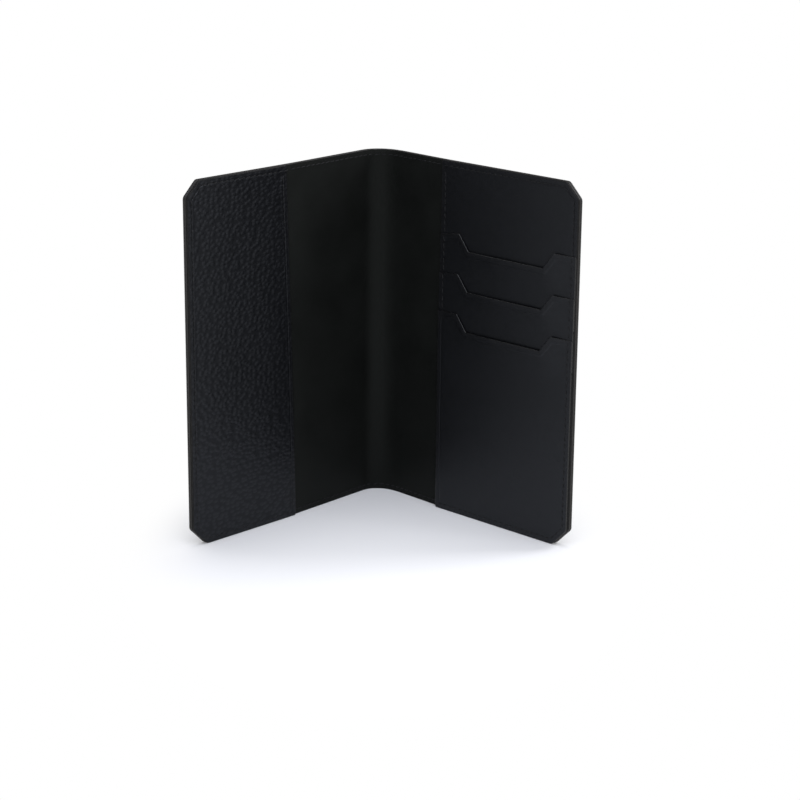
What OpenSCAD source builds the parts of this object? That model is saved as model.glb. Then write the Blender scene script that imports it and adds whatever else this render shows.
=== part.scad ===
// Passport holder: two leather covers on a rounded spine, standing open on their lower edges.
// Millimetres. Z runs up along the spine, the open side faces -Y, the origin is under the middle.
// Each cover is drawn flat: x runs from its fold line to its free edge, y up, z towards the inside.
// Depth 0 is the inner face of the lining.

/* [Cover] */
// Height along the spine
cover_h = 135; // [130:1:150]
// Width of one cover from its fold line to its free edge
cover_w = 92; // [88:1:105]
// Corner cut off along each edge
corner_cut = 7; // [4:0.5:9]
// Angle between the two covers as the holder stands
open_angle = 88; // [40:1:150]

/* [Spine] */
// Radius of the lining inside the rounded spine
spine_r = 8; // [6:0.5:14]
// Arc of the spine between the two fold lines, degrees
spine_arc = 58; // [40:1:70]

/* [Layers] */
// Outer leather
leather_t = 1.1; // [1:0.1:1.6]
// Lining
lining_t = 0.6; // [0.4:0.1:1]
// Board let into the back of the outer leather
board_t = 0.5; // [0.3:0.05:0.6]
// Border between the board and the edges of the cover
board_margin = 6; // [5:0.5:10]
// Tape that holds a pocket off the lining
tape_t = 0.25; // [0.2:0.05:0.6]
// Width of the tape and of the other strips under the seams
tape_w = 4; // [3:0.5:5]

/* [Passport pockets] */
// Width of the flap on the front cover
flap_w = 48; // [35:1:60]
// Flap leather
flap_t = 0.7; // [0.5:0.1:1]
// Width of the pocket panel on the back cover
panel_w = 65; // [62:1:75]
// Panel leather
panel_t = 0.4; // [0.3:0.05:0.8]

/* [Card slots] */
// Top of the first strip below the top of the cover
slot_drop = 25.8; // [20:0.2:32]
// Step from one slot to the next
slot_pitch = 15.4; // [13:0.2:17]
// Depth of the thumb notch in a strip
notch_depth = 6.2; // [4:0.2:8]
// Width of each slanted side of the notch
notch_run = 5.2; // [3:0.2:8]
// Width of the tab on either side of the notch
tab_w = 9.5; // [6:0.5:12]
// Strip leather
slot_t = 0.35; // [0.3:0.05:0.6]
// Strip hidden behind the next slot, below its notch
strip_lap = 6; // [4:0.5:8]
// Cloth tail that closes a slot from behind
tail_t = 0.15; // [0.1:0.05:0.25]
// Depth of a slot below its tabs
card_depth = 78; // [74:0.5:80]

/* [Seams] */
// Seam line in from the edge
seam_inset = 2; // [1.6:0.1:2.5]
// Distance from stitch to stitch
stitch_pitch = 2.5; // [2:0.1:4]
// Length of a stitch
stitch_l = 1.8; // [1.2:0.1:1.9]
// Width of the thread
thread_w = 0.5; // [0.3:0.05:0.6]
// Height of a stitch
thread_t = 0.2; // [0.15:0.05:0.25]

/* [Hidden] */
$fn = 96;
slot_count = 3;
cover_t = lining_t + leather_t;
half_open = open_angle / 2;
half_arc = spine_arc / 2;
fold = [spine_r * sin(half_arc), spine_r * cos(half_arc)];
fold_gap = 0.3;
lining_u = lining_t * sin(half_arc) + fold_gap;
leather_u = cover_t * sin(half_arc) + fold_gap;
flap_u = cover_w - flap_w;
panel_u = cover_w - panel_w;
flap_v = tape_t + flap_t;
panel_v = tape_t + panel_t;
groove_t = thread_t + 0.05;
groove_w = thread_w + 0.2;
seam_cut = corner_cut - seam_inset * (2 - sqrt(2));
seam_u = cover_w - seam_inset;
deepest = panel_v + slot_count * slot_t;
spine_back = spine_r + cover_t;
cover_front = fold.y - cover_w * cos(half_open) - deepest * sin(half_open);
spine_y = -(spine_back + cover_front) / 2;

// Heights and depths of the card slots, counted from 0 at the top
function slot_top(i) = cover_h - slot_drop - i * slot_pitch;
function strip_low(i) = slot_top(i + 1) - notch_depth - strip_lap;
function slot_v(i) = panel_v + i * slot_t;
function slot_edge(z) = [[cover_w, z], [cover_w - tab_w, z], [cover_w - tab_w - notch_run, z - notch_depth],
    [panel_u + tab_w + notch_run, z - notch_depth], [panel_u + tab_w, z], [panel_u, z]];

// Corner points of the seam, from the top edge round the free edge to the lower edge
function seam(u) = [[u, cover_h - seam_inset], [seam_u - seam_cut, cover_h - seam_inset],
    [seam_u, cover_h - seam_inset - seam_cut], [seam_u, seam_inset + seam_cut],
    [seam_u - seam_cut, seam_inset], [u, seam_inset]];

// Places on the standing holder
module at_spine() translate([0, spine_y, 0]) rotate(90 - half_arc) children();
module on_back() translate([fold.x, spine_y + fold.y, 0]) rotate([90, 0, half_open - 90]) children();
module on_front() mirror([1, 0, 0]) on_back() children();

// One layer of a cover, from u to the free edge
module outline(u) {
    polygon([[u, 0], [cover_w - corner_cut, 0], [cover_w, corner_cut],
        [cover_w, cover_h - corner_cut], [cover_w - corner_cut, cover_h], [u, cover_h]]);
}
module layer(u, v, t) translate([0, 0, v]) linear_extrude(t) outline(u);

// Straight seams: a line of even width, and a row of stitches
module line(a, b, w) {
    d = b - a;
    translate(a) rotate(atan2(d.y, d.x)) translate([-w / 2, -w / 2]) square([norm(d) + w, w]);
}
module row(a, b) {
    d = b - a;
    n = max(1, floor(norm(d) / stitch_pitch));
    for (i = [0:n - 1])
        translate(a + d * (i + 0.5) / n) rotate(atan2(d.y, d.x)) square([stitch_l, thread_w], center = true);
}
module rows(points, v) {
    translate([0, 0, v]) linear_extrude(thread_t)
        for (i = [0:len(points) - 2]) row(points[i], points[i + 1]);
}

// Pieces that both covers have
module cover_leather() {
    points = seam(0);
    difference() {
        layer(leather_u, -cover_t, leather_t);
        board(1);
        for (i = [0:len(points) - 2])
            translate([0, 0, -cover_t - 1]) linear_extrude(1 + groove_t)
                line(points[i], points[i + 1], groove_w);
    }
}
module board(above = 0) {
    translate([board_margin, board_margin, -lining_t - board_t])
        cube([cover_w - 2 * board_margin, cover_h - 2 * board_margin, board_t + above]);
}
module pocket_tape(u) {
    for (z = [0, cover_h - tape_w])
        translate([u, z, 0]) cube([cover_w - corner_cut - u, tape_w, tape_t]);
    translate([cover_w - tape_w, corner_cut, 0]) cube([tape_w, cover_h - 2 * corner_cut, tape_t]);
}
module cover_rows(pocket_u) {
    rows(seam(leather_u + 1), -cover_t + groove_t - thread_t);
    for (z = [seam_inset, cover_h - seam_inset]) rows([[lining_u + 1, z], [pocket_u - 1, z]], 0);
}

// Card slot strips and what lies behind them
module slot_strip(i) {
    translate([0, 0, slot_v(i)]) linear_extrude(slot_t)
        polygon(concat([[panel_u, strip_low(i)], [cover_w, strip_low(i)]], slot_edge(slot_top(i))));
}
module last_strip() {
    i = slot_count - 1;
    low_edge = [[panel_u, 0], [cover_w - corner_cut, 0], [cover_w, corner_cut]];
    translate([0, 0, slot_v(i)]) linear_extrude(slot_t) polygon(concat(low_edge, slot_edge(slot_top(i))));
}
module slot_tail(i) {
    floor_z = max(tape_w, slot_top(i) - card_depth);
    translate([panel_u + tape_w, floor_z, slot_v(i)])
        cube([panel_w - 2 * tape_w, strip_low(i) - floor_z, tail_t]);
}

module spine_leather() color("#1c1d20") at_spine()
    rotate_extrude(angle = spine_arc) difference() {
        translate([spine_r + lining_t, 0]) square([leather_t, cover_h]);
        for (z = [seam_inset, cover_h - seam_inset])
            translate([spine_back - groove_t, z - groove_w / 2]) square([1, groove_w]);
    }
module spine_lining() color("#111213") at_spine()
    rotate_extrude(angle = spine_arc) translate([spine_r, 0]) square([lining_t, cover_h]);
module spine_thread() color("#2b2b2d") at_spine()
    for (r = [spine_r - thread_t, spine_back - groove_t]) {
        n = max(1, floor(r * spine_arc * PI / 180 / stitch_pitch));
        turn = stitch_l / r * 180 / PI;
        for (z = [seam_inset, cover_h - seam_inset], i = [0:n - 1])
            rotate(spine_arc * (i + 0.5) / n - turn / 2) rotate_extrude(angle = turn)
                translate([r, z - thread_w / 2]) square([thread_t, thread_w]);
    }

module front_leather() color("#1c1d20") on_front() cover_leather();
module front_stiffener() color("#6b5c48") on_front() board();
module front_lining() color("#111213") on_front() layer(lining_u, -lining_t, lining_t);
module front_flap_tape() color("#3a3a3c") on_front() pocket_tape(flap_u);
module front_pocket_flap() color("#202226") on_front() layer(flap_u, tape_t, flap_t);
module front_flap_thread() color("#2b2b2d") on_front()
    rows([[flap_u + seam_inset, cover_h - 2 * seam_inset], [flap_u + seam_inset, 2 * seam_inset]], flap_v);
module front_seam_thread() color("#2b2b2d") on_front() {
    cover_rows(flap_u);
    rows(seam(flap_u + 1), flap_v);
}

module back_leather() color("#1c1d20") on_back() cover_leather();
module back_stiffener() color("#6b5c48") on_back() board();
module back_lining() color("#111213") on_back() layer(lining_u, -lining_t, lining_t);
module back_panel_tape() color("#3a3a3c") on_back() pocket_tape(panel_u);
module back_pocket_panel() color("#1e2023") on_back() layer(panel_u, tape_t, panel_t);
module slot_filler() color("#27282b") on_back()
    for (i = [0:slot_count - 2]) translate([0, 0, slot_v(i)]) {
        rise = strip_low(i) - fold_gap;
        translate([panel_u, 0, 0]) cube([tape_w, rise, slot_t]);
        translate([cover_w - tape_w, corner_cut, 0]) cube([tape_w, rise - corner_cut, slot_t]);
        translate([panel_u + tape_w, 0, 0]) cube([panel_w - tape_w - corner_cut, tape_w, slot_t]);
    }
module upper_slot_strip() color("#1e2023") on_back() slot_strip(0);
module upper_slot_tail() color("#303236") on_back() slot_tail(0);
module middle_slot_strip() color("#1e2023") on_back() slot_strip(1);
module middle_slot_tail() color("#303236") on_back() slot_tail(1);
module lower_slot_strip() color("#1e2023") on_back() last_strip();
module card_pocket_thread() color("#2b2b2d") on_back()
    for (i = [0:slot_count - 1]) {
        u = panel_u + seam_inset;
        top = i == 0 ? cover_h - 2 * seam_inset : slot_top(i - 1) - fold_gap;
        rows([[u, top], [u, slot_top(i) + fold_gap]], slot_v(i));
    }
module back_seam_thread() color("#2b2b2d") on_back() {
    points = seam(panel_u + 1);
    cover_rows(panel_u);
    rows([points[0], points[1], points[2]], panel_v);
    rows([points[3], points[4], points[5]], deepest);
    for (i = [0:slot_count]) {
        top = i == 0 ? points[2].y : slot_top(i - 1) - fold_gap;
        low = i == slot_count ? points[3].y : slot_top(i) + fold_gap;
        rows([[seam_u, top], [seam_u, low]], slot_v(i));
    }
}

spine_leather();
spine_lining();
spine_thread();
front_leather();
front_stiffener();
front_lining();
front_flap_tape();
front_pocket_flap();
front_flap_thread();
front_seam_thread();
back_leather();
back_stiffener();
back_lining();
back_panel_tape();
back_pocket_panel();
slot_filler();
upper_slot_strip();
upper_slot_tail();
middle_slot_strip();
middle_slot_tail();
lower_slot_strip();
card_pocket_thread();
back_seam_thread();
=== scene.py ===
import math

import bmesh
import bpy
import numpy as np
from mathutils import Matrix, Vector, geometry


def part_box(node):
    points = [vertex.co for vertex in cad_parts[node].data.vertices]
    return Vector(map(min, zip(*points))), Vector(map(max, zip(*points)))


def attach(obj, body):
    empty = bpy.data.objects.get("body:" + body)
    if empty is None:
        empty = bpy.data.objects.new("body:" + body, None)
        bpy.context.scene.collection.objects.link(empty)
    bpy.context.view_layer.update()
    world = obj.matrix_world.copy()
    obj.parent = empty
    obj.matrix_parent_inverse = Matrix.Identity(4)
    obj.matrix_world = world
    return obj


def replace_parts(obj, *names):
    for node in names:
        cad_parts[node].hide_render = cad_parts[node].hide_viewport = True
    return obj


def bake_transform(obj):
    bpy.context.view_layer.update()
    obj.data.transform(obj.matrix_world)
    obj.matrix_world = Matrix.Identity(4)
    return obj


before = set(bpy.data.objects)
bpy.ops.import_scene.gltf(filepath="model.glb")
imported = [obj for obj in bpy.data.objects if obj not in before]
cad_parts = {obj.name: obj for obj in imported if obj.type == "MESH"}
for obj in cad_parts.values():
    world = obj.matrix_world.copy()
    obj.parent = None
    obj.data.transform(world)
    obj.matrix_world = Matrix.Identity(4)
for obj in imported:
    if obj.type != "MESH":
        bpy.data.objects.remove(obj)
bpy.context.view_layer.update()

bl_info = {
    "name": "Leather passport holder",
    "version": (1, 0, 0),
    "blender": (4, 5, 0),
    "location": "3D View > Sidebar > Holder",
    "description": "Dresses the packed passport holder in leather, lining, edge paint and thread",
    "category": "Add Mesh",
}

SPINE_LOW, SPINE_HIGH = (Vector(corner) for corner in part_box("spine_leather"))
LINING_HIGH = Vector(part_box("spine_lining")[1])
LINING = 0.0006
FRONT, BACK = -1, 1
BODY = {FRONT: "front_cover", BACK: "back_cover"}
SIDE = {FRONT: "front", BACK: "back"}

# Gaps between layers that lie on each other, at a pocket's edge, at a tape's edge and round a seam's ends
HAIR, EDGE_GAP, TAPE_INSET = 0.00001, 0.00008, 0.0002
SEAM_GAP, STITCH_GAP = 0.001, 0.0003

# Spacing of mesh points on a face, a hidden face, a border, a crease, a sewn row and round the spine
FACE_STEP, HIDDEN_STEP, BORDER_STEP, CREASE_STEP, ROW_STEP = 0.003, 0.004, 0.0012, 0.001, 0.0005
SPINE_STEP, SPINE_REACH = 0.0007, 0.012

# Free points keep this share of the border's step, and of a crease's width, clear
BORDER_CLEAR, CREASE_CLEAR = 0.6, 1.15

# Triangles are laid out in millimetres, where points closer than this are one
MILLIMETRES, MERGED = 1000.0, 1e-5

# Two steps of an outline that turn by less than this are straight, and faces that meet at more are sharp
STRAIGHT, SHARP = 1e-3, math.radians(50)

# Radius of each layer's rounded edge, the row of points beside it, and how far wear reaches in
RIM = {
    "leather": 0.00035, "lining": 0.00018, "board": 0.0001, "tape": 0.00005, "flap": 0.00025,
    "panel": 0.00016, "strip": 0.00017, "tail": 0.00005, "levelling": 0.00008,
}
SUPPORT, WEAR_WIDTH = 0.00022, 0.0016

# Refraction of every finish, and about how many bands the wave texture has in a unit at scale 1
REFRACTION, BANDS = 1.45, 3.1416

# A pressed crease across its width, as (place, depth)
CREASE_SHAPE = ((-1.0, 0.0), (-0.5, 0.06), (-0.25, 0.7), (0.0, 1.0), (0.25, 0.7), (0.5, 0.06), (1.0, 0.0))

# Shares of the thread's width that a stitch's ends sink and its middle rises, its twist, stray lean and seed
STITCH_SUNK, STITCH_PROUD, STITCH_TWIST, STRAY_LEAN, STITCH_SEED = -0.4, 0.55, 18.0, 0.06, 7

# Rows shorter than this many trims hold no stitch
SHORTEST_ROW = 2.2

# Soft lamps as name, place, size and share of the key power
LAMPS = (
    ("front_box", (0.0, -0.9, 1.35), (1.3, 0.9), 1.0),
    ("top_box", (0.0, 0.1, 1.5), (1.0, 1.0), 0.8),
    ("right_box", (1.0, 0.25, 0.85), (0.5, 0.45), 0.6),
    ("left_box", (-1.0, 0.36, 1.06), (0.3, 0.3), 0.05),
    ("side_box", (1.35, -0.55, 0.30), (0.15, 0.15), 0.22),
)


# Properties

def number(name, description, default, **kind):
    return bpy.props.FloatProperty(name=name, description=description, default=default, **kind)


def triple(name, description, default, **kind):
    return bpy.props.FloatVectorProperty(name=name, description=description, default=default, size=3, **kind)


def length(name, description, default):
    return number(name, description, default, precision=5, subtype="DISTANCE", unit="LENGTH")


def angle(name, description, degrees):
    return number(name, description, math.radians(degrees), subtype="ANGLE", unit="ROTATION")


def colour(name, description, default):
    return triple(name, description, default, min=0.0, max=1.0, subtype="COLOR")


class HolderCover(bpy.types.PropertyGroup):
    height: length("Height", "Height along the spine", SPINE_HIGH.z - SPINE_LOW.z)
    reach: length("Reach", "From the middle of the spine along the lining to the free edge", 0.09605)
    corner_cut: length("Corner cut", "Lower corners cut off along each edge", 0.0066)
    top_cut: length("Top corner cut", "Upper corners, cut off a little less", 0.0057)
    corner_round: length("Corner rounding", "Radius at the two ends of a corner cut", 0.0022)
    leather: length("Leather", "Thickness of the outer leather", 0.0011)
    lining: length("Lining", "Thickness of the lining", LINING)
    board: length("Board", "Thickness of the board inside a cover", 0.0005)
    board_margin: length("Board margin", "Border between the board and the edges of a cover", 0.006)
    grain: length("Grain", "Depth of the creases between the pebbles of the grained leather", 0.000042)
    grain_step: length("Grain step", "Spacing of the points that carry the grain", 0.0005)
    apex: length("Spine place", "Y of the lining's inner face at the spine", LINING_HIGH.y - LINING)
    spine_run: length("Spine bend", "Length of lining over which one half bends away", 0.0073)
    bend: angle("Bend", "How far a cover turns away from the spine's middle", 47.1)
    pocket_bend: angle("Pocket bend", "The same under the pocket, which holds it straighter", 44.7)
    bend_ease: length("Bend ease", "Length over which the bend settles at the pocket's edge", 0.02)


class HolderPockets(bpy.types.PropertyGroup):
    flap_run: length("Flap start", "From the middle of the spine to the flap's free edge", 0.0470)
    flap_lean: length("Flap lean", "How far the flap's free edge leans out at the top and in below", 0.0019)
    flap: length("Flap", "Thickness of the flap", 0.0007)
    panel_run: length("Panel start", "From the middle of the spine to the panel's free edge", 0.03105)
    panel: length("Panel", "Thickness of the pocket panel", 0.0004)
    tape: length("Tape", "Thickness of the tape under a pocket's sewn sides", 0.00025)
    tape_width: length("Tape width", "Width of the tape and the levelling strips", 0.004)
    slot_drop: length("Slot drop", "Top of the first strip below the top of the cover", 0.0262)
    slot_pitch: length("Slot pitch", "Step from one slot to the next", 0.0152)
    notch_depth: length("Notch depth", "Depth of the thumb notch", 0.0061)
    notch_run: length("Notch side", "Width of each slanted side of the notch", 0.0049)
    tab_width: length("Tab width", "Width of the tab on either side of the notch", 0.0097)
    tab_sag: triple(
        "Tab sag", "How far each strip's tab drops towards the panel's free edge", (0.0016, 0.0008, 0.0),
        precision=5, unit="LENGTH"
    )
    mouth: length("Mouth", "How far a notch stands off the layer behind it", 0.0008)
    hem: length("Hem", "How much thicker the turned edge of a slot is", 0.0001)
    hem_width: length("Hem width", "Width of the turned edge of a slot", 0.0021)
    hem_step: length("Hem step", "Width of the step down from the turned edge of a slot", 0.0006)
    strip: length("Strip", "Thickness of a slot strip", 0.00035)
    strip_lap: length("Strip lap", "Part of a strip behind the next slot, below its notch", 0.006)
    tail: length("Tail", "Thickness of the cloth tail", 0.00015)
    card_depth: length("Card depth", "Depth of a slot below its tabs", 0.078)
    slot_count: bpy.props.IntProperty(
        name="Slots", description="Number of card slots", default=3, min=1, max=3
    )


class HolderSeams(bpy.types.PropertyGroup):
    inset: length("Inset", "Seam line in from the edge", 0.002)
    pitch: length("Pitch", "Distance from stitch to stitch", 0.0025)
    stitch: length("Stitch", "Length of a stitch", 0.0019)
    thread: length("Thread", "Width of the thread", 0.00046)
    lean: angle("Lean", "How far a stitch leans across its seam", 9.0)
    crease: length("Crease", "Width of a pressed crease", 0.0006)
    crease_depth: length("Crease depth", "Depth of a pressed crease", 0.00007)


class HolderFinish(bpy.types.PropertyGroup):
    leather: colour("Leather", "Grained black leather", (0.0030, 0.0032, 0.0038))
    calf: colour("Calf", "Smooth black calf of the card pockets", (0.0050, 0.0053, 0.0060))
    lining: colour("Lining", "Satin black lining", (0.0062, 0.0067, 0.0062))
    paint: colour("Edge paint", "Brown black paint on the cut edges of the covers", (0.0100, 0.0086, 0.0074))
    dye: colour("Edge dye", "Black dye on the cut edges of the pockets", (0.0040, 0.0041, 0.0043))
    worn: colour("Worn edge", "Grey of a rubbed edge", (0.0180, 0.0170, 0.0165))
    thread: colour("Thread", "Waxed charcoal thread", (0.0058, 0.0061, 0.0070))
    sheen: colour("Sheen", "Cool tint of the leather's gloss", (0.84, 0.89, 1.00))
    lining_sheen: colour("Lining sheen", "Tint of the lining's gloss", (0.93, 1.00, 0.95))
    board: colour("Board", "Brown board inside the covers", (0.1500, 0.1100, 0.0700))
    tape: colour("Tape", "Black bonding tape", (0.0120, 0.0120, 0.0120))
    cloth: colour("Cloth", "Black pocket cloth", (0.0160, 0.0170, 0.0190))


class HolderStage(bpy.types.PropertyGroup):
    lens: number("Lens", "Focal length in millimetres on a sensor 36 wide", 97.36)
    distance: length("Distance", "From the camera to the point it looks at", 0.80806)
    elevation: angle("Elevation", "Height of the camera above the horizon", 16.732)
    azimuth: angle("Azimuth", "Turn of the camera round the holder", -1.163)
    roll: angle("Roll", "Tilt of the camera about its own axis", 0.534)
    target: triple(
        "Target", "Point that the camera looks at", (0.00756, 0.0, 0.04642), subtype="XYZ", unit="LENGTH"
    )
    floor: colour("Floor", "Pale floor", (0.95, 0.95, 0.95))
    floor_size: length("Floor size", "From the middle of the floor to its edge", 6.0)
    sky: colour("Sky", "Light from all around", (0.965, 0.970, 1.00))
    sky_level: number("Sky level", "Strength of the light all around", 0.48)
    wall: number("Wall", "Share of the light that comes from low behind", 0.25, subtype="FACTOR")
    key: colour("Key", "Cool light of the front lamp", (0.84, 0.88, 1.00))
    key_power: number("Key power", "Watts of the front lamp", 10.0)
    aim: length("Lamp aim", "Height that the lamps point at", 0.06)


GROUPS = {
    "cover": HolderCover,
    "pockets": HolderPockets,
    "seams": HolderSeams,
    "finish": HolderFinish,
    "stage": HolderStage,
}


def chosen(*names):
    """The scene's values of one group of properties, or of several."""
    groups = [getattr(bpy.context.scene, f"holder_{name}") for name in names]
    return groups if len(groups) > 1 else groups[0]


# Form of one half

def smooth(t):
    t = np.clip(t, 0.0, 1.0)
    return t * t * (3.0 - 2.0 * t)


def settling(t):
    return 1.0 - (1.0 - np.clip(t, 0.0, 1.0)) ** 3


class Half:
    """The lining's inner face on one half, as run from the spine's middle, height, and depth to the inside.

    The front half bends evenly, and the back half bends at once and settles over twice the length.
    """

    samples = 1600
    past_edge = 1.02

    def __init__(self, side):
        cover, pockets = chosen("cover", "pockets")
        pocket_run = pockets.flap_run if side == FRONT else pockets.panel_run
        self.side = side
        self.run = np.linspace(0.0, cover.reach * self.past_edge, self.samples)
        settled = smooth((self.run - pocket_run) / cover.bend_ease + 0.5)
        along = self.run / cover.spine_run
        turned = smooth(along) if side == FRONT else settling(along / 2)
        self.bend = cover.bend * turned + (cover.pocket_bend - cover.bend) * settled
        middle = (self.bend[1:] + self.bend[:-1]) / 2
        step = self.run[1]
        self.x = np.concatenate(([0.0], np.cumsum(np.cos(middle)) * step))
        self.y = cover.apex - np.concatenate(([0.0], np.cumsum(np.sin(middle)) * step))

    def place(self, run, height, depth):
        bend = np.interp(run, self.run, self.bend)
        x = np.interp(run, self.run, self.x) - depth * np.sin(bend)
        y = np.interp(run, self.run, self.y) - depth * np.cos(bend)
        return np.stack([self.side * x, y, height + 0.0 * x], axis=-1)

    def inward(self, run):
        bend = np.interp(run, self.run, self.bend)
        return np.stack([-self.side * np.sin(bend), -np.cos(bend), 0.0 * bend], axis=-1)

    def blend(self, piece):
        """Bakes the piece's place into its mesh; the piece is not tied to the hinge between the spine and
        this half's cover.
        """
        cover = chosen("cover")
        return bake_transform(piece)


# Flat outlines and paths, as rows of (run, height)

def flat_points(*pairs):
    return [np.array(pair) for pair in pairs]


def rounded(corners, radii, steps=6):
    """A closed outline whose corners are turned into small arcs."""
    points = []
    for i, corner in enumerate(corners):
        if radii[i] == 0.0:
            points.append(corner)
            continue
        before = corners[i - 1] - corner
        after = corners[(i + 1) % len(corners)] - corner
        before = before / np.linalg.norm(before)
        after = after / np.linalg.norm(after)
        half_corner = math.acos(np.clip(before @ after, -1.0, 1.0)) / 2
        reach = radii[i] / math.tan(half_corner)
        middle = (before + after) / np.linalg.norm(before + after)
        centre = corner + middle * radii[i] / math.sin(half_corner)
        first = corner + before * reach - centre
        last = corner + after * reach - centre
        for t in np.linspace(0.0, 1.0, steps):
            ray = first * (1 - t) + last * t
            points.append(centre + ray / np.linalg.norm(ray) * radii[i])
    return np.array(points)


def rectangle(left, right, low, high, radius):
    return rounded(flat_points((left, low), (right, low), (right, high), (left, high)), [radius] * 4)


def dense(points, spacing, closed=True):
    """The same path with no step longer than spacing."""
    ends = np.roll(points, -1, axis=0) if closed else points[1:]
    out = []
    for a, b in zip(points, ends):
        count = max(1, math.ceil(np.linalg.norm(b - a) / spacing))
        out.extend(a + (b - a) * k / count for k in range(count))
    if not closed:
        out.append(points[-1])
    return np.array(out)


def left_of(step):
    """Unit normals to the left of each step of a path."""
    step = step / np.linalg.norm(step, axis=1)[:, None]
    return np.stack([-step[:, 1], step[:, 0]], axis=1)


def inset(points, distance, kept=None):
    """A closed outline moved inwards. The steps marked in kept stay on their own lines."""
    after = left_of(np.roll(points, -1, axis=0) - points)
    move = np.full(len(points), distance)
    if kept is not None:
        move[kept] = 0.0
    before, move_before = np.roll(after, 1, axis=0), np.roll(move, 1)
    cross = before[:, 0] * after[:, 1] - before[:, 1] * after[:, 0]
    straight = np.abs(cross) < STRAIGHT
    cross = np.where(straight, 1.0, cross)
    x = (move_before * after[:, 1] - move * before[:, 1]) / cross
    y = (before[:, 0] * move - after[:, 0] * move_before) / cross
    turned = np.stack([x, y], axis=1)
    return points + np.where(straight[:, None], after * np.maximum(move, move_before)[:, None], turned)


def beside(path, distance):
    """An open path moved to its left, with mitred corners."""
    normal = left_of(np.diff(path, axis=0))
    before = np.concatenate([normal[:1], normal])
    after = np.concatenate([normal, normal[-1:]])
    mitre = before + after
    mitre = mitre / np.linalg.norm(mitre, axis=1)[:, None]
    return path + mitre * (distance / np.sum(mitre * after, axis=1))[:, None]


def distance_to(points, path, closed):
    """Distance from each point to the nearest step of a path."""
    ends = np.roll(path, -1, axis=0) if closed else path[1:]
    best = np.full(len(points), np.inf)
    for a, b in zip(path, ends):
        along = np.clip((points - a) @ (b - a) / max((b - a) @ (b - a), 1e-18), 0.0, 1.0)
        best = np.minimum(best, np.linalg.norm(points - a - along[:, None] * (b - a), axis=1))
    return best


def inside(points, outline):
    """Which points lie inside a closed outline."""
    found = np.zeros(len(points), bool)
    for a, b in zip(outline, np.roll(outline, -1, axis=0)):
        crosses = (a[1] > points[:, 1]) != (b[1] > points[:, 1])
        rise = b[1] - a[1] if b[1] != a[1] else 1.0
        found ^= crosses & (points[:, 0] < a[0] + (points[:, 1] - a[1]) / rise * (b[0] - a[0]))
    return found


def cover_corners(start_low, start_high, margin=0.0):
    """Corners of one layer of a cover, along its lower edge to the free edge and back along the top."""
    cover = chosen("cover")
    edge, low, high = cover.reach - margin, margin, cover.height - margin
    foot, head = (cut - margin * (2 - math.sqrt(2)) for cut in (cover.corner_cut, cover.top_cut))
    return flat_points(
        (start_low, low), (edge - foot, low), (edge, low + foot),
        (edge, high - head), (edge - head, high), (start_high, high),
    )


def cover_outline(start_low, start_high, margin=0.0, start_round=0.0):
    radii = [start_round] + [chosen("cover").corner_round] * 4 + [start_round]
    return rounded(cover_corners(start_low, start_high, margin), radii)


def slot_top(i):
    cover, pockets = chosen("cover", "pockets")
    return cover.height - pockets.slot_drop - i * pockets.slot_pitch


def slot_edge(i):
    """The upper edge of a slot strip, from the cover's free edge to the panel's free edge."""
    cover, pockets = chosen("cover", "pockets")
    top, low = slot_top(i), slot_top(i) - pockets.notch_depth
    right, left = cover.reach - EDGE_GAP, pockets.panel_run
    tab, slant = pockets.tab_width, pockets.tab_width + pockets.notch_run
    return flat_points(
        (right, top), (right - tab, top), (right - slant, low),
        (left + slant, low), (left + tab, top), (left, top - pockets.tab_sag[i]),
    )


def strip_low(i):
    pockets = chosen("pockets")
    return slot_top(i + 1) - pockets.notch_depth - pockets.strip_lap


def strip_depth(i):
    """Depth of the back of slot strip i, counted from 0 at the top."""
    pockets = chosen("pockets")
    return pockets.tape + pockets.panel + i * pockets.strip


def flap_seam():
    """Ends of the seam along the flap's free edge, from the top down."""
    cover, pockets, seams = chosen("cover", "pockets", "seams")
    high, low = pockets.flap_run + pockets.flap_lean, pockets.flap_run - pockets.flap_lean
    top, foot = cover.height - 2 * seams.inset, 2 * seams.inset
    return flat_points((high + seams.inset, top), (low + seams.inset, foot))


def seam_corners(start):
    """Corners of the seam round a cover, from the top edge past the free edge to the lower edge."""
    return cover_corners(start, start, chosen("seams").inset)[::-1]


def seam_crease(path):
    seams = chosen("seams")
    return np.array(path), seams.crease, seams.crease_depth


# Sheets

def add_object(name, data):
    made = bpy.data.objects.new(name, data)
    bpy.context.scene.collection.objects.link(made)
    return made


def mark_points(mesh, name, values):
    """Keeps a number or a vector on each point of a mesh."""
    values = np.asarray(values, np.float32)
    kind, field = ("FLOAT", "value") if values.ndim == 1 else ("FLOAT_VECTOR", "vector")
    mesh.attributes.new(name, kind, "POINT").data.foreach_set(field, values.ravel())


def edge_profile(back, face, radius, steps=4, parts=5):
    """(inset, depth) from the back of a sheet round its edge to its face, whose flat is cut in parts."""
    turn = np.linspace(0.0, math.pi / 2, steps)
    way = math.copysign(1.0, face - back)
    hold = radius + (abs(face - back) - 2 * radius) / parts
    rows = [(radius + SUPPORT, back)]
    rows += [(radius * (1 - math.sin(t)), back + way * radius * (1 - math.cos(t))) for t in turn]
    rows += [(0.0, back + way * hold), (0.0, face - way * hold)]
    rows += [(radius * (1 - math.cos(t)), face - way * radius * (1 - math.sin(t))) for t in turn]
    rows += [(radius + SUPPORT, face)]
    return rows


def edge_faces(rings, count):
    """Faces round the edge of a sheet, and which of them carry the edge's finish."""
    faces, painted = [], []
    for ring in range(rings - 1):
        first, second = ring * count, (ring + 1) * count
        for i in range(count):
            j = (i + 1) % count
            faces.append([first + i, first + j, second + j, second + i])
            painted.append(int(0 < ring < rings - 2))
    return faces, painted


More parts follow.
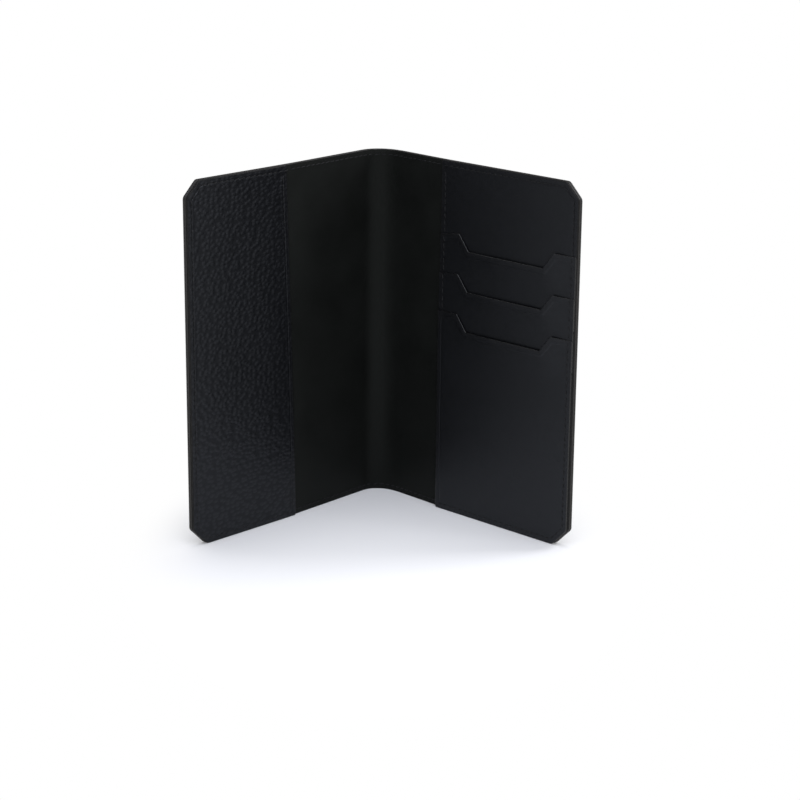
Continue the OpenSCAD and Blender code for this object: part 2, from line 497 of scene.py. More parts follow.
def crease_lines(creases):
    """Lines of mesh points along each crease, and how deep each point is pressed."""
    paths, drops = [], []
    for path, width, drop in creases:
        path = dense(path, CREASE_STEP, closed=False)
        for across, share in CREASE_SHAPE:
            paths.append(beside(path, across * width))
            drops.append(np.full(len(path), drop * share))
    return paths, drops


def steps_between(values, spacing):
    low, high = values.min(), values.max()
    return np.linspace(low, high, max(2, round((high - low) / spacing)) + 1)


def grid(outline, border, step, cut, creases):
    """Free points for the inside of a sheet, clear of its border and its creases."""
    runs, heights = (steps_between(values, step) for values in outline.T)
    if cut:
        fine = min(step, SPINE_STEP)
        runs = np.concatenate([np.arange(fine, SPINE_REACH, fine), runs[runs > SPINE_REACH]])
    run, height = np.meshgrid(runs, heights)
    points = np.stack([run.ravel(), height.ravel()], axis=1)
    points = points[inside(points, border)]
    points = points[distance_to(points, border, True) > min(step, BORDER_STEP) * BORDER_CLEAR]
    for path, width, _ in creases:
        points = points[distance_to(points, path, False) > width * CREASE_CLEAR]
    return points


def fill(outline, points, paths):
    """Triangles inside a closed outline, over its own points, free points and open paths, in that order."""
    everything = np.concatenate([outline, points, *paths]) * MILLIMETRES
    count = len(outline)
    edges = [(i, (i + 1) % count) for i in range(count)]
    first = count + len(points)
    for path in paths:
        edges += [(first + i, first + i + 1) for i in range(len(path) - 1)]
        first += len(path)
    places, border = [Vector(p) for p in everything], [list(range(count))]
    made = geometry.delaunay_2d_cdt(places, edges, border, 1, MERGED)
    source = [ids[0] if ids else -1 for ids in made[3]]
    if -1 in source:
        raise RuntimeError("two creases cross in a sheet")
    return [[source[v] for v in face] for face in made[2]]


def sheet(
    name, form, outline, back, face, radius, spacing=FACE_STEP, creases=(), lift=None, hem=None, cut=False
):
    """A closed sheet with a rounded edge: a face at one depth, a back at another, and creases in the face.

    A sheet that is cut starts at the middle of the spine and meets the other half there.
    lift(run, height) is how far the sheet stands off to the inside, and hem(flat) how much thicker it is.
    """
    border = dense(outline, SPINE_STEP if cut else BORDER_STEP)
    on_cut = np.isclose(border[:, 0], 0.0)
    kept = on_cut & np.roll(on_cut, -1) if cut else None
    profile = edge_profile(back, face, radius)
    flat = [inset(border, move, kept) for move, _ in profile]
    depth = [np.full(len(border), level) for _, level in profile]
    count, last = len(border), len(profile) - 1
    faces, painted = edge_faces(len(profile), count)
    way = math.copysign(1.0, face - back)
    total = len(profile) * count
    sides = ((0, back, (), max(spacing, FACE_STEP)), (last, face, creases, spacing))
    for ring, side_depth, pressed, step in sides:
        paths, drops = crease_lines(pressed)
        free = grid(outline, flat[ring], step, cut, pressed)
        for triangle in fill(flat[ring], free, paths):
            faces.append([ring * count + v if v < count else total + v - count for v in triangle])
            painted.append(0)
        flat.append(np.concatenate([free, *paths]))
        depth.append(np.full(len(free), side_depth))
        depth.extend(side_depth - way * drop for drop in drops)
        total += len(flat[-1])
    flat, depth = np.concatenate(flat), np.concatenate(depth)
    rubbed = distance_to(flat, outline, not cut)
    on_face = np.isclose(depth, face) & (rubbed > radius)
    for path, width, _ in creases:
        on_face &= distance_to(flat, path, False) > width
    if hem is not None:
        depth = back + (depth - back) * (1.0 + hem(flat) / (face - back))
    if lift is not None:
        depth = depth + lift(flat[:, 0], flat[:, 1])
    marks = {
        "wear": 1.0 - smooth(rubbed / WEAR_WIDTH),
        "grained": on_face * smooth((rubbed - radius) / WEAR_WIDTH),
        "flat": np.column_stack([form.side * flat[:, 0], flat[:, 1], depth]),
        "outwards": way * form.inward(flat[:, 0]),
    }
    return mesh_piece(name, form.place(flat[:, 0], flat[:, 1], depth), faces, painted, marks)


def mesh_piece(name, points, faces, painted, marks):
    """A mesh object from points and faces, with outward normals, smooth faces and marks on its points."""
    mesh = bpy.data.meshes.new(name)
    mesh.from_pydata(points.tolist(), [], faces)
    mesh.polygons.foreach_set("material_index", painted)
    for mark, values in marks.items():
        mark_points(mesh, mark, values)
    shape = bmesh.new()
    shape.from_mesh(mesh)
    bmesh.ops.recalc_face_normals(shape, faces=shape.faces)
    shape.to_mesh(mesh)
    shape.free()
    mesh.shade_smooth()
    mesh.set_sharp_from_angle(angle=SHARP)
    return add_object(name, mesh)


# Finishes

def add_node(tree, kind, inputs=None, **settings):
    """A node with its settings, and its inputs set or joined by name or number."""
    made = tree.nodes.new(kind)
    for key, value in settings.items():
        setattr(made, key, value)
    for key, value in (inputs or {}).items():
        if isinstance(value, bpy.types.NodeSocket):
            tree.links.new(value, made.inputs[key])
        else:
            made.inputs[key].default_value = value
    return made


def socket(tree, kind, inputs=None, **settings):
    """The first output of a new node."""
    return add_node(tree, kind, inputs, **settings).outputs[0]


def mixed(tree, share, a, b):
    """Colour between a and b."""
    return add_node(tree, "ShaderNodeMix", {0: share, 6: a, 7: b}, data_type="RGBA").outputs[2]


def ranged(tree, value, low, high, to_low, to_high):
    inputs = {"Value": value, 1: low, 2: high, 3: to_low, 4: to_high}
    return socket(tree, "ShaderNodeMapRange", inputs, interpolation_type="SMOOTHSTEP")


def added(tree, a, b, clamp=False):
    return socket(tree, "ShaderNodeMath", {0: a, 1: b}, operation="ADD", use_clamp=clamp)


def times(tree, a, b):
    return socket(tree, "ShaderNodeMath", {0: a, 1: b}, operation="MULTIPLY")


def noise(tree, where, scale, detail=2.0, rough=0.5):
    inputs = {"Vector": where, "Scale": scale, "Detail": detail, "Roughness": rough}
    return add_node(tree, "ShaderNodeTexNoise", inputs).outputs["Fac"]


def mark_on(tree, name, output="Fac"):
    return add_node(tree, "ShaderNodeAttribute", attribute_name=name).outputs[output]


def rgba(value, level=1.0):
    return (value[0] * level, value[1] * level, value[2] * level, 1.0)


def blank(name, specular, tint=(1.0, 1.0, 1.0)):
    """A new material: its tree, its shader with constant gloss, and its Object coordinates."""
    material = bpy.data.materials.new(name)
    material.use_nodes = True
    tree = material.node_tree
    shader = tree.nodes["Principled BSDF"]
    shader.inputs["IOR"].default_value = REFRACTION
    shader.inputs["Specular IOR Level"].default_value = specular
    shader.inputs["Specular Tint"].default_value = rgba(tint)
    where = add_node(tree, "ShaderNodeTexCoord").outputs["Object"]
    return material, tree, shader, where


def finish(tree, shader, colour_socket, roughness, height, depth):
    """Joins colour, roughness and bump height to a shader."""
    bump = socket(tree, "ShaderNodeBump", {"Height": height, "Distance": depth, "Strength": 1.0})
    tree.links.new(colour_socket, shader.inputs["Base Color"])
    tree.links.new(roughness, shader.inputs["Roughness"])
    tree.links.new(bump, shader.inputs["Normal"])


def rubbed_edges(tree, where, base, scale, most, worn):
    """A colour that wears to another along the edges, broken up by noise."""
    patches = ranged(tree, noise(tree, where, scale, 3.0), 0.42, 0.68, 0.15, 1.0)
    share = times(tree, times(tree, mark_on(tree, "wear"), patches), most)
    return mixed(tree, share, base, rgba(worn))


def pebbles(tree, flat):
    """Shrunken grain on a flat sheet, 0 in its creases and 1 on its pebbles, for shaders and geometry."""
    stray = add_node(tree, "ShaderNodeTexNoise", {"Vector": flat, "Scale": 300.0, "Detail": 2.0})
    bend = {0: stray.outputs["Color"], 1: (0.0003, 0.0003, 0.0), 2: flat}
    bent = socket(tree, "ShaderNodeVectorMath", bend, operation="MULTIPLY_ADD")
    wide = socket(tree, "ShaderNodeVectorMath", {0: bent, 1: (0.64, 1.0, 0.0)}, operation="MULTIPLY")
    inputs = {"Vector": wide, "Scale": 660.0, "Randomness": 0.85}
    cells = add_node(tree, "ShaderNodeTexVoronoi", inputs, voronoi_dimensions="2D")
    return ranged(tree, cells.outputs["Distance"], 0.0, 0.6, 1.0, 0.0)


def grained_leather():
    """Shrunken grain: pebbles that shine more than the creases between them, with the creases painted darker
    as shade, wrinkles and fine pores.
    """
    colours = chosen("finish")
    material, tree, shader, where = blank("grained_leather", 0.30, colours.sheen)
    flat = mark_on(tree, "flat", "Vector")
    pebble = pebbles(tree, flat)
    patches = noise(tree, flat, 90.0)
    pores = noise(tree, where, 5200.0, 3.0, 0.6)
    wrinkles = noise(tree, flat, 900.0, 3.0, 0.55)
    height = added(tree, pebble, added(tree, times(tree, pores, 0.25), wrinkles))
    # The creases are painted a little darker than the pebbles: painted shade in the creases.
    base = mixed(tree, pebble, rgba(colours.leather, 0.9), rgba(colours.leather, 1.05))
    patchy = mixed(tree, patches, base, rgba(colours.leather, 1.35))
    rubbed = rubbed_edges(tree, where, patchy, 900.0, 0.35, colours.worn)
    gloss = added(tree, ranged(tree, pores, 0.0, 1.0, 0.26, 0.34), times(tree, patches, 0.06))
    finish(tree, shader, rubbed, gloss, height, 0.00005)
    shine = ranged(tree, pebble, 0.0, 0.45, 0.245, 0.33)
    tree.links.new(shine, shader.inputs["Specular IOR Level"])
    return material


def smooth_calf():
    """Smooth calf: fine pores, faint wrinkles and a satin face."""
    colours = chosen("finish")
    material, tree, shader, where = blank("smooth_calf", 0.32, colours.sheen)
    pores = noise(tree, where, 3800.0, 3.0, 0.6)
    wrinkles = noise(tree, where, 620.0, 4.0, 0.55)
    base = mixed(tree, wrinkles, rgba(colours.calf, 0.8), rgba(colours.calf, 1.2))
    cloudy = mixed(tree, noise(tree, where, 45.0), base, rgba(colours.calf, 1.3))
    rubbed = rubbed_edges(tree, where, cloudy, 1100.0, 0.35, colours.worn)
    gloss = added(tree, ranged(tree, wrinkles, 0.3, 0.7, 0.32, 0.40), times(tree, pores, 0.08))
    finish(tree, shader, rubbed, gloss, added(tree, pores, wrinkles), 0.00003)
    return material


def satin_lining():
    """Thin satin lining leather with fine pores."""
    colours = chosen("finish")
    material, tree, shader, where = blank("satin_lining", 0.13, colours.lining_sheen)
    pores = noise(tree, where, 4600.0, 4.0, 0.65)
    clouds = noise(tree, where, 90.0, 3.0)
    base = mixed(tree, clouds, rgba(colours.lining, 0.75), rgba(colours.lining, 1.35))
    rubbed = rubbed_edges(tree, where, base, 900.0, 0.3, colours.worn)
    gloss = added(tree, ranged(tree, clouds, 0.3, 0.7, 0.50, 0.58), times(tree, pores, 0.08))
    finish(tree, shader, rubbed, gloss, pores, 0.00004)
    return material


def cut_edge(name, tint, specular, rough, relief, rub):
    """Paint or dye on cut edges, slightly uneven and rubbed grey in places."""
    material, tree, shader, where = blank(name, specular)
    flow = noise(tree, where, 700.0, 3.0)
    specks = noise(tree, where, 3000.0, 2.0)
    base = mixed(tree, flow, rgba(tint, 0.7), rgba(tint, 1.3))
    rubbed = rubbed_edges(tree, where, base, 1300.0, rub, chosen("finish").worn)
    gloss = ranged(tree, flow, 0.3, 0.7, rough, rough * 1.35)
    finish(tree, shader, rubbed, gloss, added(tree, flow, specks), relief)
    return material


def edge_paint():
    return cut_edge("edge_paint", chosen("finish").paint, 0.42, 0.40, 0.00005, 0.4)


def edge_dye():
    return cut_edge("edge_dye", chosen("finish").dye, 0.20, 0.45, 0.00005, 0.3)


def burnished_edge():
    return cut_edge("burnished_edge", chosen("finish").dye, 0.6, 0.24, 0.00001, 0.05)


def waxed_thread():
    """Waxed thread: two plies, their crowns painted lighter and the grooves between them darker as light and
    shade, with short fibres.
    """
    colours = chosen("finish")
    material, tree, shader, where = blank("waxed_thread", 0.28)
    wave = socket(tree, "ShaderNodeMath", {0: mark_on(tree, "twist")}, operation="SINE")
    plies = ranged(tree, wave, -1.0, 1.0, 0.0, 1.0)
    fibres = noise(tree, where, 9000.0, 3.0, 0.7)
    # Lighter on each ply's crown and darker between the plies: painted highlight and painted shade along the
    # twist.
    base = mixed(tree, plies, rgba(colours.thread, 0.5), rgba(colours.thread, 1.3))
    fuzzy = mixed(tree, fibres, base, rgba(colours.thread, 1.4))
    gloss = ranged(tree, fibres, 0.3, 0.7, 0.48, 0.66)
    finish(tree, shader, fuzzy, gloss, added(tree, plies, fibres), 0.00006)
    return material


def woven(name, tint, pitch):
    """Plain weave of a thin cloth or tape, with two threads to a band."""
    material, tree, shader, where = blank(name, 0.2)
    inputs = {"Vector": where, "Scale": 1.0 / pitch / 2.0 / BANDS, "Distortion": 0.4, "Detail": 1.0}
    across, along = (
        add_node(tree, "ShaderNodeTexWave", inputs, bands_direction=way).outputs["Fac"] for way in ("X", "Z")
    )
    weave = times(tree, across, along)
    fibres = noise(tree, where, 7000.0, 3.0, 0.7)
    base = mixed(tree, weave, rgba(tint, 0.55), rgba(tint, 1.25))
    fuzzy = mixed(tree, fibres, base, rgba(tint, 1.3))
    rubbed = rubbed_edges(tree, where, fuzzy, 900.0, 0.2, rgba(tint, 2.0))
    gloss = ranged(tree, fibres, 0.3, 0.7, 0.72, 0.86)
    finish(tree, shader, rubbed, gloss, added(tree, weave, fibres), 0.00005)
    return material


def bonding_tape():
    return woven("bonding_tape", chosen("finish").tape, 0.0004)


def pocket_cloth():
    return woven("pocket_cloth", chosen("finish").cloth, 0.0005)


def fibre_board():
    """Grey brown fibre board."""
    colours = chosen("finish")
    material, tree, shader, where = blank("fibre_board", 0.25)
    fibres = noise(tree, where, 2600.0, 5.0, 0.7)
    flecks = noise(tree, where, 500.0, 3.0)
    base = mixed(tree, fibres, rgba(colours.board, 0.7), rgba(colours.board, 1.2))
    rubbed = rubbed_edges(tree, where, base, 800.0, 0.4, rgba(colours.board, 1.6))
    gloss = ranged(tree, flecks, 0.3, 0.7, 0.75, 0.90)
    finish(tree, shader, rubbed, gloss, added(tree, fibres, flecks), 0.00004)
    return material


def finished(maker):
    """A finish that is made once, under its maker's name, and shared."""
    return bpy.data.materials.get(maker.__name__) or maker()


# Geometry Nodes

def new_tree(name, shape, **inputs):
    """An empty tree with a shape to work on, its named inputs, and one output."""
    tree = bpy.data.node_groups.new(name, "GeometryNodeTree")
    for key, kind in {shape: "Geometry", **inputs}.items():
        tree.interface.new_socket(key, in_out="INPUT", socket_type=f"NodeSocket{kind}")
    tree.interface.new_socket("Made", in_out="OUTPUT", socket_type="NodeSocketGeometry")
    return tree, add_node(tree, "NodeGroupInput").outputs


def named_value(tree, name, kind):
    return socket(tree, "GeometryNodeInputNamedAttribute", {"Name": name}, data_type=kind)


def grow(piece, tree, values):
    """Runs a tree on a piece, with its inputs set by name, and leaves the result as a plain mesh."""
    modifier = piece.modifiers.new(tree.name, "NODES")
    modifier.node_group = tree
    for item in tree.interface.items_tree:
        if item.name in values:
            modifier[item.identifier] = values[item.name]
    bpy.context.view_layer.update()
    evaluated = piece.evaluated_get(bpy.context.evaluated_depsgraph_get())
    made = bpy.data.meshes.new_from_object(evaluated)
    piece.modifiers.remove(modifier)
    flat = piece.data
    piece.data = made
    made.name = piece.name
    bpy.data.meshes.remove(flat)
    bpy.data.node_groups.remove(tree)


def grain_tree():
    """Sinks the creases of shrunken leather into a sheet's face, and dyes its face and cut edge."""
    tree, given = new_tree("pressed_grain", "Sheet", Depth="Float", Leather="Material", Edge="Material")
    pebble = pebbles(tree, named_value(tree, "flat", "FLOAT_VECTOR"))
    share = times(tree, added(tree, pebble, -1.0), named_value(tree, "grained", "FLOAT"))
    outwards = named_value(tree, "outwards", "FLOAT_VECTOR")
    scale = {0: outwards, "Scale": times(tree, share, given["Depth"])}
    rise = socket(tree, "ShaderNodeVectorMath", scale, operation="SCALE")
    raised = socket(tree, "GeometryNodeSetPosition", {"Geometry": given["Sheet"], "Offset": rise})
    dyed = socket(tree, "GeometryNodeRealizeInstances", {"Geometry": raised})
    edge = socket(tree, "GeometryNodeMaterialSelection", {"Material": given["Edge"]})
    face = socket(tree, "FunctionNodeBooleanMath", {0: edge}, operation="NOT")
    for selection, name in ((face, "Leather"), (edge, "Edge")):
        inputs = {"Geometry": dyed, "Selection": selection, "Material": given[name]}
        dyed = socket(tree, "GeometryNodeSetMaterial", inputs)
    add_node(tree, "NodeGroupOutput", {0: dyed})
    return tree


def dress(piece, face, edge, grain=0.0):
    """Gives a piece the finishes of its face and edge as its two materials, and its pressed grain."""
    leather, paint = finished(face), finished(edge)
    for material in (leather, paint):
        piece.data.materials.append(material)
    if grain > 0.0:
        grow(piece, grain_tree(), {"Depth": grain, "Leather": leather, "Edge": paint})


def stitch_tree():
    """One arched, leaning stitch on each step of the sewn rows."""
    sizes = dict.fromkeys(("Pitch", "Stitch", "Thread", "Lean"), "Float")
    tree, given = new_tree("sewn_stitches", "Rows", **sizes, Material="Material")
    curve = socket(tree, "GeometryNodeMeshToCurve", {"Mesh": given["Rows"]})
    spacing = {"Curve": curve, "Length": given["Pitch"]}
    spaced = socket(tree, "GeometryNodeResampleCurve", spacing, mode="LENGTH")
    end = times(tree, given["Stitch"], 0.5)
    start = times(tree, end, -1.0)
    sunk = times(tree, given["Thread"], STITCH_SUNK)
    proud = times(tree, given["Thread"], STITCH_PROUD)
    bow = {"Resolution": 5}
    for name, x, z in (("Start", start, sunk), ("Middle", 0.0, proud), ("End", end, sunk)):
        bow[name] = socket(tree, "ShaderNodeCombineXYZ", {"X": x, "Z": z})
    arch = socket(tree, "GeometryNodeCurveQuadraticBezier", bow)
    turns = times(tree, socket(tree, "GeometryNodeSplineParameter"), STITCH_TWIST)
    twist = {"Geometry": arch, "Name": "twist", "Value": turns}
    marked = socket(tree, "GeometryNodeStoreNamedAttribute", twist, data_type="FLOAT", domain="POINT")
    radius = times(tree, given["Thread"], 0.5)
    wire = socket(tree, "GeometryNodeCurvePrimitiveCircle", {"Resolution": 6, "Radius": radius})
    swept = {"Curve": marked, "Profile Curve": wire, "Fill Caps": True}
    stitch = socket(tree, "GeometryNodeCurveToMesh", swept)
    axes = {
        "Primary Axis": named_value(tree, "up", "FLOAT_VECTOR"),
        "Secondary Axis": socket(tree, "GeometryNodeInputTangent"),
    }
    turn = socket(tree, "FunctionNodeAxesToRotation", axes, primary_axis="Z", secondary_axis="X")
    limits = {2: -STRAY_LEAN, 3: STRAY_LEAN, "Seed": STITCH_SEED}
    stray = add_node(tree, "FunctionNodeRandomValue", limits, data_type="FLOAT").outputs[1]
    lean = added(tree, given["Lean"], stray)
    across = socket(tree, "ShaderNodeCombineXYZ", {"Z": lean})
    lay = {"Rotation": turn, "Rotate By": across}
    leaning = socket(tree, "FunctionNodeRotateRotation", lay, rotation_space="LOCAL")
    row = {"Points": spaced, "Instance": stitch, "Rotation": leaning}
    sewn = socket(tree, "GeometryNodeInstanceOnPoints", row)
    real = socket(tree, "GeometryNodeRealizeInstances", {"Geometry": sewn})
    even = socket(tree, "GeometryNodeSetShadeSmooth", {"Geometry": real})
    dyed = socket(tree, "GeometryNodeSetMaterial", {"Geometry": even, "Material": given["Material"]})
    add_node(tree, "NodeGroupOutput", {0: dyed})
    return tree


# Stitches

def trimmed(ends, amount):
    """A straight row shortened at both ends; None where nothing is left."""
    span = ends[1] - ends[0]
    size = np.linalg.norm(span)
    if size < SHORTEST_ROW * amount:
        return None
    return np.array([ends[0] + span * amount / size, ends[1] - span * amount / size])


def pairs(points):
    return list(zip(points[:-1], points[1:]))


def sew(name, form, rows):
    """One piece of stitches along rows of (ends, depth, way), where way is 1 on the inside and -1 outside."""
    seams = chosen("seams")
    points, edges, ups = [], [], []
    for ends, depth, way in rows:
        path = trimmed(ends, seams.pitch / 2)
        if path is None:
            continue
        path = dense(path, ROW_STEP, closed=False)
        first = len(points)
        points.extend(form.place(path[:, 0], path[:, 1], depth))
        ups.extend(way * form.inward(path[:, 0]))
        edges.extend((first + i, first + i + 1) for i in range(len(path) - 1))
    mesh = bpy.data.meshes.new(name)
    mesh.from_pydata([tuple(p) for p in points], edges, [])
    mark_points(mesh, "up", ups)
    piece = add_object(name, mesh)
    grow(piece, stitch_tree(), {
        "Pitch": seams.pitch, "Stitch": seams.stitch, "Thread": seams.thread, "Lean": seams.lean,
        "Material": finished(waxed_thread),
    })
    return piece


# Operators

class HOLDER_OT_stage(bpy.types.Operator):
    """Pale floor, soft light and the camera"""
    bl_idname = "holder.stage"
    bl_label = "Stage"

    # The oval of floor that keeps its shade, and where that fades out
    shade_stretch, shade_shift, shade_reach = (1.5, 1.0, 1.0), (0.0, 0.04, 0.0), (0.085, 0.14)

    # Where the light all around is dimmer, and where that starts and is full
    low_behind, behind_reach = (0.0, 0.97, 0.24), (0.72, 0.92)

    def execute(self, context):
        stage = chosen("stage")
        self.floor(stage)
        self.light(context.scene, stage)
        self.camera(context.scene, stage)
        context.scene.view_settings.view_transform = "Standard"
        return {"FINISHED"}

    def floor(self, stage):
        """Paper that keeps the shadow near the holder and is seen as plain white further off."""
        mesh = bpy.data.meshes.new("floor")
        shape = bmesh.new()
        bmesh.ops.create_grid(shape, x_segments=2, y_segments=2, size=stage.floor_size)
        shape.to_mesh(mesh)
        shape.free()
        material = bpy.data.materials.new("pale_floor")
        material.use_nodes = True
        tree = material.node_tree
        tree.nodes.clear()
        ray = add_node(tree, "ShaderNodeLightPath").outputs
        seen = added(tree, ray["Is Camera Ray"], ray["Is Glossy Ray"])
        seen = added(tree, seen, ray["Is Transmission Ray"], clamp=True)
        where = add_node(tree, "ShaderNodeTexCoord").outputs["Object"]
        oval = {0: where, 1: self.shade_stretch, 2: self.shade_shift}
        front = socket(tree, "ShaderNodeVectorMath", oval, operation="MULTIPLY_ADD")
        away = add_node(tree, "ShaderNodeVectorMath", {0: front}, operation="LENGTH").outputs["Value"]
        far = times(tree, ranged(tree, away, *self.shade_reach, 0.0, 1.0), seen)
        tint = mixed(tree, noise(tree, where, 30.0), rgba(stage.floor, 0.995), rgba(stage.floor, 1.005))
        paper = socket(tree, "ShaderNodeBsdfDiffuse", {"Color": tint})
        white = socket(tree, "ShaderNodeEmission", {"Strength": 1.0})
        both = socket(tree, "ShaderNodeMixShader", {0: far, 1: paper, 2: white})
        add_node(tree, "ShaderNodeOutputMaterial", {"Surface": both})
        mesh.materials.append(material)
        add_object("floor", mesh)

    def light(self, scene, stage):
        """Even light all around, dimmer low behind, and the soft lamps."""
        world = bpy.data.worlds.new("studio")
        scene.world = world
        world.use_nodes = True
        tree = world.node_tree
        background = tree.nodes["Background"]
        background.inputs["Color"].default_value = rgba(stage.sky)
        where = add_node(tree, "ShaderNodeTexCoord").outputs["Generated"]
        facing = {0: where, 1: self.low_behind}
        behind = add_node(tree, "ShaderNodeVectorMath", facing, operation="DOT_PRODUCT").outputs["Value"]
        level = ranged(tree, behind, *self.behind_reach, stage.sky_level, stage.sky_level * stage.wall)
        tree.links.new(level, background.inputs["Strength"])
        for name, place, size, share in LAMPS:
            tint = stage.key if name == "front_box" else stage.sky
            self.soft_box(name, Vector(place), size, stage.key_power * share, tint, stage.aim)

    def soft_box(self, name, place, size, power, tint, aim):
        """A rectangular lamp that faces the holder."""
        lamp = bpy.data.lights.new(name, "AREA")
        lamp.shape = "RECTANGLE"
        lamp.size, lamp.size_y = size
        lamp.energy = power
        lamp.color = tint
        turn = (Vector((0.0, 0.0, aim)) - place).to_track_quat("-Z", "Y").to_matrix().to_4x4()
        add_object(name, lamp).matrix_world = Matrix.Translation(place) @ turn

    def camera(self, scene, stage):
        lens = bpy.data.cameras.new("camera")
        lens.sensor_fit = "HORIZONTAL"
        lens.sensor_width = 36.0
        lens.lens = stage.lens
        lens.clip_start, lens.clip_end = 0.01, 30.0
        level = math.cos(stage.elevation)
        back = Vector((
            math.sin(stage.azimuth) * level, -math.cos(stage.azimuth) * level, math.sin(stage.elevation)
        ))
        place = Vector(stage.target) + back * stage.distance
        turn = (-back).to_track_quat("-Z", "Y").to_matrix().to_4x4()
        scene.camera = add_object("camera", lens)
        scene.camera.matrix_world = Matrix.Translation(place) @ turn @ Matrix.Rotation(stage.roll, 4, "Z")


class HOLDER_OT_outer_leather(bpy.types.Operator):
    """The grained outer leather, in two halves that meet in the middle of the spine"""
    bl_idname = "holder.outer_leather"
    bl_label = "Outer leather"

    # From the middle of the spine to the start of the crease
    crease_start = 0.0012

    def execute(self, context):
        cover = chosen("cover")
        back, face = -cover.lining - HAIR, -cover.lining - cover.leather
        for side, nodes in ((FRONT, ("front_leather", "spine_leather")), (BACK, ("back_leather",))):
            form = Half(side)
            creases = [seam_crease(seam_corners(self.crease_start))]
            piece = sheet(
                f"{SIDE[side]}_outer_leather", form, cover_outline(0.0, 0.0), back, face, RIM["leather"],
                cover.grain_step, creases, cut=True
            )
            dress(piece, grained_leather, edge_paint, cover.grain)
            form.blend(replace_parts(piece, *nodes))
        return {"FINISHED"}


class HOLDER_OT_linings(bpy.types.Operator):
    """The smooth lining, in two halves that meet in the middle of the spine"""
    bl_idname = "holder.linings"
    bl_label = "Linings"

    def execute(self, context):
        back, face = -chosen("cover").lining, 0.0
        for side, nodes in ((FRONT, ("front_lining", "spine_lining")), (BACK, ("back_lining",))):
            form = Half(side)
            name, outline = f"{SIDE[side]}_inner_lining", cover_outline(0.0, 0.0)
            piece = sheet(name, form, outline, back, face, RIM["lining"], cut=True)
            dress(piece, satin_lining, edge_paint)
            form.blend(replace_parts(piece, *nodes))
        return {"FINISHED"}


class HOLDER_OT_stiffeners(bpy.types.Operator):
    """The boards inside the covers"""
    bl_idname = "holder.stiffeners"
    bl_label = "Stiffeners"

    # Radius of the corners, and how much wider the margin is beside the spine
    corner, spine_margin = 0.001, 0.004

    def execute(self, context):
        cover = chosen("cover")
        margin = cover.board_margin
        back, face = -cover.lining - cover.board, -cover.lining - 2 * HAIR
        start, stop = margin + self.spine_margin, cover.reach - margin
        outline = rectangle(start, stop, margin, cover.height - margin, self.corner)
        for side in (FRONT, BACK):
            piece = sheet(f"{SIDE[side]}_board", Half(side), outline, back, face, RIM["board"], HIDDEN_STEP)
            dress(piece, fibre_board, fibre_board)
            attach(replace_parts(piece, f"{SIDE[side]}_stiffener"), BODY[side])
        return {"FINISHED"}


class HOLDER_OT_passport_pockets(bpy.types.Operator):
    """The grained flap, the smooth panel and the tape under their sewn sides"""
    bl_idname = "holder.passport_pockets"
    bl_label = "Passport pockets"

    # Radii of a tape's corners and of the ends of a pocket's free edge
    tape_corner, mouth_corner = 0.001, 0.0006

    # How far the flap's free edge stands off, and over what width
    flap_bow, flap_bow_width = 0.0004, 0.03

    def execute(self, context):
        pockets = chosen("pockets")
        self.tape(FRONT, pockets, pockets.flap_run + pockets.flap_lean, "front_flap_tape")
        self.tape(BACK, pockets, pockets.panel_run, "back_panel_tape")
        self.flap(pockets)
        self.panel(pockets)
        return {"FINISHED"}

    def tape(self, side, pockets, start, node):
        """One strip of tape with three sides, open at the pocket's mouth."""
        outer, inner = (cover_corners(start, start, margin) for margin in (TAPE_INSET, pockets.tape_width))
        radii = [0.0] + [self.tape_corner] * 4 + [0.0]
        outline = rounded(outer + inner[::-1], radii * 2)
        back, face = HAIR, pockets.tape - HAIR
        piece = sheet(f"{node}_strip", Half(side), outline, back, face, RIM["tape"], HIDDEN_STEP)
        dress(piece, bonding_tape, bonding_tape)
        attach(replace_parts(piece, node), BODY[side])

    def flap(self, pockets):
        cover, seams = chosen("cover", "seams")
        low, high = pockets.flap_run - pockets.flap_lean, pockets.flap_run + pockets.flap_lean
        outline = cover_outline(low, high, EDGE_GAP, self.mouth_corner)
        creases = [seam_crease(seam_corners(pockets.flap_run + 3 * seams.inset)), seam_crease(flap_seam())]

        def lift(run, height):
            """The free edge stands off halfway up."""
            middle = 1.0 - ((height - cover.height / 2) / (cover.height / 2)) ** 2
            return self.flap_bow * middle * (1.0 - smooth((run - low) / self.flap_bow_width))

        back, face = pockets.tape, pockets.tape + pockets.flap
        piece = sheet(
            "front_flap", Half(FRONT), outline, back, face, RIM["flap"], cover.grain_step, creases, lift
        )
        dress(piece, grained_leather, edge_dye, cover.grain)
        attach(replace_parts(piece, "front_pocket_flap"), BODY[FRONT])

    def panel(self, pockets):
        start = pockets.panel_run
        outline = cover_outline(start, start, EDGE_GAP, self.mouth_corner)
        creases = [seam_crease(seam_corners(start + 3 * chosen("seams").inset))]
        back, face = pockets.tape, pockets.tape + pockets.panel
        piece = sheet("back_panel", Half(BACK), outline, back, face, RIM["panel"], creases=creases)
        dress(piece, smooth_calf, edge_dye)
        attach(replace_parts(piece, "back_pocket_panel"), BODY[BACK])


